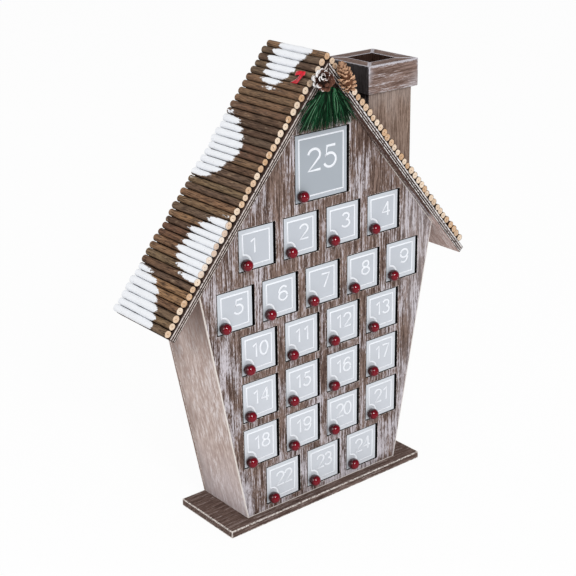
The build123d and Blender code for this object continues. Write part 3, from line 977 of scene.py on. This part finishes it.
def cut_end(chance, reach, wobble):
    """The colour of a sawn end: rings, painted highlights, a dark rim and a dark pith."""
    rings = reach.math("SINE", reach * 26.0 + wobble * 5.0) * 0.5 + 0.5
    end = mix(step(chance, 0.2, 0.9), (240, 222, 200), (206, 170, 134))
    end = mix(rings * 0.45, end, (178, 138, 104))
    # Painted highlight: near-white spots on the sawn end.
    end = mix(step(wobble, 0.5, 0.75) * 0.6, end, (246, 236, 224))
    end = mix(step(reach + (wobble - 0.5) * 0.3, 0.84, 0.96), end, (74, 52, 38))
    return mix(1 - step(reach, 0.08, 0.16), end, (120, 86, 58))


def bark_finish(name, snowy):
    """Bark with cut ends, and painted snow in patches down the left slope."""
    material, place = new_finish(name, Specular_IOR_Level=0.25)
    chance, crest, cut = (attribute(place, kind) for kind in ("chance", "crest", "cut"))
    spoke = vector("SUBTRACT", place, attribute(place, "axis", "Vector"))
    shifted = {"X": chance, "Y": along(place, "Y") * MM + chance * 0.7, "Z": chance * 0.4}
    own = vector("ADD", spoke, place.node("ShaderNodeCombineXYZ", shifted))
    fibre = noise(own, 0.7, (1, 0.07, 1), 4.0, 0.65)
    blotch = noise(own, 4.0, (1, 0.35, 1))
    tone = place.node("ShaderNodeValToRGB", {"Fac": chance * 0.85 + blotch * 0.15}, stops=bark_tones)
    bark = mix(step(fibre, 0.34, 0.6), (52, 35, 26), tone)
    bark = mix(step(blotch + fibre * 0.3, 0.74, 0.86) * 0.35, bark, (172, 150, 126))
    bark = mix(step(along(place, "Z") + (chance - 0.5) * 100, 240, 380) * 0.3, bark, (98, 84, 72))
    # Painted shade: the bark darkens away from its crest, in the gaps between the twigs.
    bark = mix(step(crest + (fibre - 0.5) * 0.4, 0.6, 0.05) * 0.75, bark, (32, 20, 13))
    reach = vector("LENGTH", spoke) / attribute(place, "girth")
    colour = mix(cut, bark, cut_end(chance, reach, noise(own, 1.6, detail=2.0)))
    roughness = 0.82 - fibre * 0.1
    relief = fibre * 0.7 + blotch * 0.6
    if snowy:
        pits = step(noise(own, 0.9, (1, 0.6, 1), 2.0), 0.7, 0.76)
        white = painted_snow(place, chance) * (1 - pits * 0.8)
        colour = mix(white * (1 - cut * 0.75), colour, (236, 238, 242))
        roughness = roughness - white * 0.2
        relief = relief * (1 - white * 0.55) + white * 0.8
    surface(place, Base_Color=colour, Roughness=roughness, Normal=bump(relief, 0.3, 0.8))
    return material


barks = {-1: bark_finish("snowy_bark", True), 1: bark_finish("plain_bark", False)}
print("bark finishes:", [finish.name for finish in barks.values()])

# %% Plan a twig
twig_points, twig_sides = 26, 14


def twig_tree(name, side):
    """A tree that bends the twigs' axes, sweeps a ring along them, and notes the cut ends and the crests."""
    tree, (paths, bend, swell) = new_tree(name, ["Bend", "Swell"])
    fine = resampled(paths.node("GeometryNodeMeshToCurve", {"Mesh": paths}), twig_points)
    spot, chance = fine.node("GeometryNodeInputPosition"), carried(fine, "chance")
    own = spot.node("ShaderNodeCombineXYZ", {"X": chance * 40, "Y": chance * 17, "Z": chance * 29})
    moved = vector("ADD", spot, own)
    sway = spot.node("ShaderNodeTexNoise", {"Vector": moved, "Scale": 28.0, "Detail": 1.0}, "Color")
    lumps = spot.node("ShaderNodeTexNoise", {"Vector": moved, "Scale": 90.0, "Detail": 2.0})
    aside = vector("MULTIPLY", vector("SUBTRACT", sway, (0.5, 0.5, 0.5)), (1, 0, 1))
    offset = spot.node("ShaderNodeVectorMath", {0: aside, "Scale": bend}, operation="SCALE")
    bent = fine.node("GeometryNodeSetPosition", {"Geometry": fine, "Offset": offset})
    axis = noted(bent, "axis", bent.node("GeometryNodeInputPosition"), "FLOAT_VECTOR")
    tube = sweep(axis, ring(axis, twig_sides), carried(axis, "girth") * (1 + (lumps - 0.55) * swell))
    normal = tube.node("GeometryNodeInputNormal")
    facing = normal.math("ABSOLUTE", vector("DOT_PRODUCT", normal, (0, 1, 0)))
    flat = normal.math("GREATER_THAN", facing, mostly)
    off_slope = (side * math.sin(slope), 0, math.cos(slope))
    marked = noted(tube, "cut", flat, domain="FACE")
    marked = noted(marked, "crest", vector("DOT_PRODUCT", normal, off_slope))
    inputs = {"Geometry": marked, "Shade Smooth": 1 - flat}
    end_tree(marked.node("GeometryNodeSetShadeSmooth", inputs, domain="FACE"), barks[side])
    return tree


print("twig plan ready")

# %% Grow the twigs
twig_seed, cut_seed = 11, 21
twig_bend, twig_swell, girth_share, least_forward, most_forward = 0.9, 0.22, 0.99, 0.5, 1.7
for name, side in (("left", -1), ("right", 1)):
    chooser, cutter = random.Random(twig_seed + side), random.Random(cut_seed + side)
    axes, girths, chances = [], [], []
    for front, rear, girth in twigs[side]:
        axes.append((front - Vector((0, cutter.uniform(least_forward, most_forward), 0)), rear))
        girths.append(girth * MM * girth_share)
        chances.append(chooser.random())
    source = path_mesh(axes, girth=girths, chance=chances)
    mesh = grow(source, twig_tree(f"{name}_twigs", side), {"Bend": twig_bend * MM, "Swell": twig_swell})
    place_piece(f"{name}_twigs", mesh, replaces=[f"{name}_roof_twigs"])
    print(name, "twig faces:", len(mesh.polygons))

# %% [markdown]
# ## Cones at the ridge
# Two small cones are glued to the front of the ridge, one seen end on with white-dipped scales, one
# plain and hanging beside it. A cone's scales sit in a golden-angle spiral round a tapering core, which
# is a rule, so a node tree sets one spoon-shaped scale at every step of the spiral.


# %% Shape one scale
def fill_rows(form, rows):
    """Smooth quads between each row of points and the next."""
    for low, high in zip(rows, rows[1:]):
        for place in range(len(low) - 1):
            form.faces.new((low[place], low[place + 1], high[place + 1], high[place])).smooth = True


def cone_scale():
    """One scale along X from root to tip, cupped upwards, with a thick blunt lip; it notes 'tip'."""
    form = bmesh.new()
    tip = form.verts.layers.float.new("tip")
    widths = [(0.12, 0.10), (0.45, 0.15), (0.72, 0.24), (0.90, 0.22), (1.0, 0.10)]
    layers = []
    for under in (0.0, 1.0):
        rows = []
        for share, half in widths:
            row = []
            for aside in (-1.0, -0.5, 0.0, 0.5, 1.0):
                lift = 0.10 * aside**2 * share + 0.14 * share**3 - under * (0.03 + 0.07 * share**2)
                vert = form.verts.new((share, half * aside, lift))
                vert[tip] = share
                row.append(vert)
            rows.append(row)
        layers.append(rows)
    outlines = []
    for rows in layers:
        fill_rows(form, rows)
        first, last = [row[0] for row in rows], [row[-1] for row in rows]
        outlines.append([rows[0], last, rows[-1][::-1], first[::-1]])
    for pair in zip(*outlines):
        fill_rows(form, pair)
    bmesh.ops.recalc_face_normals(form, faces=form.faces)
    return bpy.data.objects.new("cone_scale", mesh_of(form, "cone_scale"))


scale_shape = cone_scale()
core_shares = [(-0.46, 0.0), (-0.45, 0.2), (-0.25, 0.5), (0.1, 0.46), (0.38, 0.2), (0.44, 0.0)]
print("scale faces:", len(scale_shape.data.polygons))


# %% Mix the cone finish
def cone_finish(name, root, lip, dipped):
    """Woody scales, dark at the root and paler at the lip, with a share of the lips dipped in white."""
    material, place = new_finish(name, Specular_IOR_Level=0.3)
    tip, rise = attribute(place, "tip"), attribute(place, "rise")
    x, z = along(place, "X"), along(place, "Z")
    streak = noise(place, 0.6, rough=0.6)
    cloud = noise(place, 7.0, detail=2.0)
    colour = mix(step(tip + (streak - 0.5) * 0.5, 0.35, 0.95), root, lip)
    colour = mix(step(z + streak * 4, 366, 378) * 0.5, colour, root)
    high = (z - 366.0) * 0.025 - (x + 12.0) * 0.05 - (rise - 0.4) * 0.7
    dip = tip + (streak - 0.5) * 0.7 + high + (cloud - 0.5) * 0.8
    white = step(dip, 1.28 - dipped * 0.5, 1.36 - dipped * 0.5)
    colour = mix(white * min(1.0, dipped * 2.6), colour, (248, 245, 244))
    roughness = 0.66 + streak * 0.2 - white * 0.1
    surface(place, Base_Color=colour, Roughness=roughness, Normal=bump(streak, 0.2, 0.7))
    return material


print("cone finish ready")

# %% Plan a cone
golden_angle = 2.39996


def cone_tree(name, finish):
    """A tree that sets scales round a core: the spiral's steps give each scale's place, tilt and size."""
    tree, (core, length, width, count) = new_tree(name, ["Length", "Width", "Scales"])
    index = core.node("GeometryNodeInputIndex")
    rise = (index + 0.5) / count
    belly = core.math("SQRT", core.math("SINE", (rise * 6.0 + 1.0) * (math.pi / 8)))
    height = core.node("ShaderNodeCombineXYZ", {"Z": length * (rise * 0.84 - 0.45)})
    spread = {"Min_001": -0.5, "Max_001": 0.5, "Seed": 3}
    loose = core.node("FunctionNodeRandomValue", spread, "Value_001", data_type="FLOAT")
    tilt, around = 0.35 - rise * 1.6 + loose * 0.5, index * golden_angle + loose * 0.5
    angles = {"X": loose * 0.8, "Y": tilt, "Z": around}
    points = noted(core.node("GeometryNodePoints", {"Count": count}), "rise", rise)
    inputs = {
        "Points": points.node("GeometryNodeSetPosition", {"Geometry": points, "Position": height}),
        "Instance": core.node("GeometryNodeObjectInfo", {"Object": scale_shape}, "Geometry"),
        "Rotation": core.node("ShaderNodeCombineXYZ", angles),
        "Scale": width * 0.5 * belly * (1 - loose * loose),
    }
    scales = core.node("GeometryNodeInstanceOnPoints", inputs)
    whole = core.node("GeometryNodeJoinGeometry", {"Geometry": scales})
    core.tree.links.new(core.socket, whole.socket.node.inputs[0])
    end_tree(whole, finish)
    return tree


print("degrees from scale to scale:", round(math.degrees(golden_angle), 1))

# %% Grow the cones
cone_front, cone_rear, core_sides = -54.8, -34.45, 12
snowy_tones = (44, 23, 16), (128, 84, 68), 0.46
plain_tones = (104, 68, 46), (224, 180, 146), 0.0
cones = [
    ("snowy_pine_cone", 20.0, 20.0, (-12.6, -43.0, 368.0), (66, 0, -34), 37, snowy_tones),
    ("plain_pine_cone", 24.0, 15.8, (12.2, -41.1, 366.4), (0, -24, 0), 84, plain_tones),
]
for name, length, width, seat, angles, count, tones in cones:
    tree = cone_tree(f"{name}_spiral", cone_finish(f"{name}_wood", *tones))
    core = spun([(width / 2 * out, 0, length * up) for up, out in core_shares], (0, 0, 1), core_sides)
    sizes = {"Length": length * MM, "Width": width * MM, "Scales": float(count)}
    mesh = grow(mesh_of(core, "core"), tree, sizes)
    lean, sway, veer = (Matrix.Rotation(math.radians(angle), 4, axis) for angle, axis in zip(angles, "XYZ"))
    mesh.transform(Matrix.Translation(Vector(seat) * MM) @ veer @ sway @ lean)
    for vert in mesh.vertices:
        vert.co.y = max(cone_front * MM, min(vert.co.y, cone_rear * MM))
    place_piece(f"{name}_scales", mesh, replaces=[name])
    print(name, "faces:", len(mesh.polygons))
bpy.data.objects.remove(scale_shape)

# %% [markdown]
# ## The sprig of needles
# Behind the cones hangs a bunch of long green needles, held at the top and fanning out over the gable.
# Hair would not survive the export, so each needle is a short path that a node tree sweeps with a thin
# tapering ring; seeded numbers spread the roots and the tips within the space that the solid holds.

# %% Plan a needle
needle_green, place = new_finish("needle_green", Specular_IOR_Level=0.2)
greens = [(0.0, (0, 20, 7)), (0.5, (3, 50, 24)), (0.85, (28, 104, 62)), (1.0, (112, 158, 122))]
shade = place.node("ShaderNodeValToRGB", {"Fac": attribute(place, "chance")}, stops=greens)
waxy = noise(place, 1.5, (1, 1, 0.3), 2.0)
surface(place, Base_Color=mix(waxy * 0.35, shade, (10, 40, 20)), Roughness=0.38 + waxy * 0.25)
needle_points, needle_sides = 8, 5
needle_tree, (paths, thick, taper) = new_tree("needles", ["Thick", "Taper"])
curve = paths.node("GeometryNodeMeshToCurve", {"Mesh": paths})
spline = curve.node("GeometryNodeCurveSplineType", {"Curve": curve}, spline_type="CATMULL_ROM")
fine = resampled(spline, needle_points)
share = fine.node("GeometryNodeSplineParameter", out="Factor")
end_tree(sweep(fine, ring(fine, needle_sides), thick * (1 - share * share * taper)), needle_green)
print("needle plan ready")

# %% Lay the needles and sweep them
needle_seed, needle_count, needle_front, needle_thick, needle_taper = 5, 480, -39.9, 0.34, 0.72
root_x, root_z, root_fan, root_front, root_deep = -3, 359.5, 8.5, -39.3, 4.2
tip_x, tip_z, tip_fan, tip_front, tip_deep, tip_left, tip_right = -4, 327.2, 28.5, -39.6, 4.8, -33.5, 25.5
chooser = random.Random(needle_seed)
needles = []
for number in range(needle_count):
    swing = 2 * (number + chooser.random()) / needle_count - 1
    deep = chooser.random()
    x = root_x + root_fan * swing + chooser.uniform(-2, 2)
    z = root_z - 4 * abs(swing) + chooser.uniform(-2.5, 2.5)
    root = Vector((x, root_front + root_deep * deep, z))
    x = max(tip_left, min(tip_right, tip_x + tip_fan * swing + chooser.uniform(-6, 6)))
    z = tip_z + 2.5 * swing * swing + 14.0 * chooser.random() ** 2.6
    tip = Vector((x, tip_front + tip_deep * deep, z))
    x = 0.8 * swing + chooser.uniform(-1.8, 1.8)
    y = -0.6 * chooser.random()
    bow = Vector((x, y, 0.6 * abs(swing) + chooser.uniform(-1.2, 1.2)))
    needles.append((root, (root + tip) / 2 + bow, tip))
source = path_mesh(needles, chance=[min(1.0, chooser.random() ** 1.1) for needle in needles])
mesh = grow(source, needle_tree, {"Thick": needle_thick * MM, "Taper": needle_taper})
for vert in mesh.vertices:
    vert.co.y = max(vert.co.y, needle_front * MM)
place_piece("needle_sprig", mesh, replaces=["pine_sprig"])
print("needle faces:", len(mesh.polygons))

# %% [markdown]
# ## The scrap of ribbon
# A short tail of red satin is tucked under the cones and lies on the twigs with its end curling up. It is
# narrower than any cloth worth simulating, so it is two strips of quads bent by a formula: a folded bar
# at its upper end, and a tail down the slope, lifted into a curl. Its sheen comes from the fine threads.

# %% Dye the ribbon
sheen = {"Sheen_Weight": 0.3, "Sheen_Roughness": 0.4}
satin, place = new_finish("satin_red", Specular_IOR_Level=0.6, **sheen)
thread = noise(place, 0.25, (0.15, 1, 0.15), 2.0)
crease = noise(place, 3.0, detail=2.0)
red = mix(step(crease + thread * 0.3, 0.45, 0.85), (166, 0, 22), (226, 10, 42))
relief = bump(thread * 0.4 + crease, 0.12, 0.6)
surface(place, Base_Color=red, Roughness=0.26 + thread * 0.2, Normal=relief)
print("ribbon finish:", satin.name)

# %% Bend the ribbon
ribbon_thick = 0.35
bar_ends = ((21.2, -17.0), (17.8, -16.6)), ((19.2, -27.4), (16.2, -26.8))
tail_ends = ((18.2, -27.2), (18.6, -21.8)), ((27.6, -26.4), (28.4, -20.2))
down_slope = Vector((-math.cos(slope), 0, -math.sin(slope)))
off_slope = Vector((-math.sin(slope), 0, math.cos(slope)))


def ribbon_strip(form, first, last, lift, steps=14, strips=5):
    """A strip on the left slope between two end lines, each given by its two ends as (path, depth)."""
    grid = []
    for number in range(steps + 1):
        share = number / steps
        row = []
        for strip in range(strips + 1):
            aside = strip / strips
            ends = [[low + (high - low) * aside for low, high in zip(*line)] for line in (first, last)]
            path, deep = (near + (far - near) * share for near, far in zip(*ends))
            point = Vector((0, deep, roof_top_z)) + down_slope * path + off_slope * lift(share, aside)
            row.append(form.verts.new(point * MM))
        grid.append(row)
    fill_rows(form, grid)


def bar_lift(share, aside):
    """The bar's height above the roof board: a low arch."""
    return 7.2 + 1.2 * math.sin(share * math.pi) + 0.5 * aside


def tail_lift(share, aside):
    """The tail's height above the roof board: it curls up towards its end."""
    return 7.6 + 2.4 * share**2 + 0.7 * math.sin(3.0 * aside + 4.0 * share)


form = bmesh.new()
ribbon_strip(form, *bar_ends, bar_lift)
ribbon_strip(form, *tail_ends, tail_lift)
bmesh.ops.recalc_face_normals(form, faces=form.faces)
bmesh.ops.solidify(form, geom=form.faces[:], thickness=ribbon_thick * MM)
place_piece("ribbon_tail", form, [satin], replaces=["ribbon"])

# %% [markdown]
# ## The floor and the light
# The photograph has a white ground and soft light from all round with hardly any shadow. Strong lamps
# would bleach the paint, so the world lights the scene evenly, two soft lamps give a little shape,
# and only what the camera sees of the ground and the sky is pure white. The lacquered beads would
# mirror all that white as a milky veil, so the ground and the sky are dim to mirrored rays.


# %% Lay the floor and light the sky
def by_ray(start, lit, dim, dimmed, white, shown):
    """A shader that is dim to mirrored rays and white to the camera, each by a share."""
    kinds = ("Is Glossy Ray", "Is Camera Ray")
    mirrored, seen = (start.node("ShaderNodeLightPath", out=kind) for kind in kinds)
    both = start.node("ShaderNodeMixShader", {0: mirrored * dimmed, 1: lit, 2: dim})
    return start.node("ShaderNodeMixShader", {0: seen * shown, 1: both, 2: white})


def glow(start, kind, strength):
    """A white light of some strength, as an Emission or a Background node."""
    return start.node(f"ShaderNode{kind}", {"Color": (1, 1, 1, 1), "Strength": strength})


floor_reach, floor_dim, floor_dimmed, floor_shown = 4, 0.1, 0.8, 0.94
sky_light, sky_dim, full = 0.74, 0.08, 1.0
floor = bpy.data.objects.new("floor", bpy.data.meshes.new("floor"))
corners = rectangle(-floor_reach, -floor_reach, floor_reach, floor_reach)
floor.data.from_pydata([(x, y, 0) for x, y in corners], [], [(0, 1, 2, 3)])
scene.collection.objects.link(floor)
paper, start = new_finish("pale_floor", Base_Color=(0.9, 0.9, 0.9, 1), Roughness=0.9)
lit = Wire(start.tree, start.tree.nodes["Principled BSDF"].outputs[0])
dim, white = (glow(start, "Emission", strength) for strength in (floor_dim, full))
ground = by_ray(start, lit, dim, floor_dimmed, white, floor_shown)
start.plug(start.tree.nodes["Material Output"].inputs["Surface"], ground)
floor.data.materials.append(paper)
world = bpy.data.worlds.new("studio")
scene.world = world
world.use_nodes = True
start = Wire(world.node_tree)
lit, dim, white = (glow(start, "Background", strength) for strength in (sky_light, sky_dim, full))
sky = by_ray(start, lit, dim, full, white, full)
start.plug(start.tree.nodes["World Output"].inputs["Surface"], sky)
print("stage:", floor.name, world.name)

# %% Hang the lamps
lamp_aim = Vector((0, 0, 0.2))


def hang_lamp(name, place, size, watts):
    """A square soft lamp that faces the house."""
    lamp = bpy.data.objects.new(name, bpy.data.lights.new(name, "AREA"))
    lamp.data.size = size
    lamp.data.energy = watts
    lamp.location = place
    lamp.rotation_mode = "QUATERNION"
    lamp.rotation_quaternion = (lamp_aim - Vector(place)).to_track_quat("-Z", "Y")
    scene.collection.objects.link(lamp)


hang_lamp("key", (-0.5, -1.7, 1.25), 0.5, 15)
hang_lamp("fill", (-1.7, -0.4, 0.9), 0.9, 5)
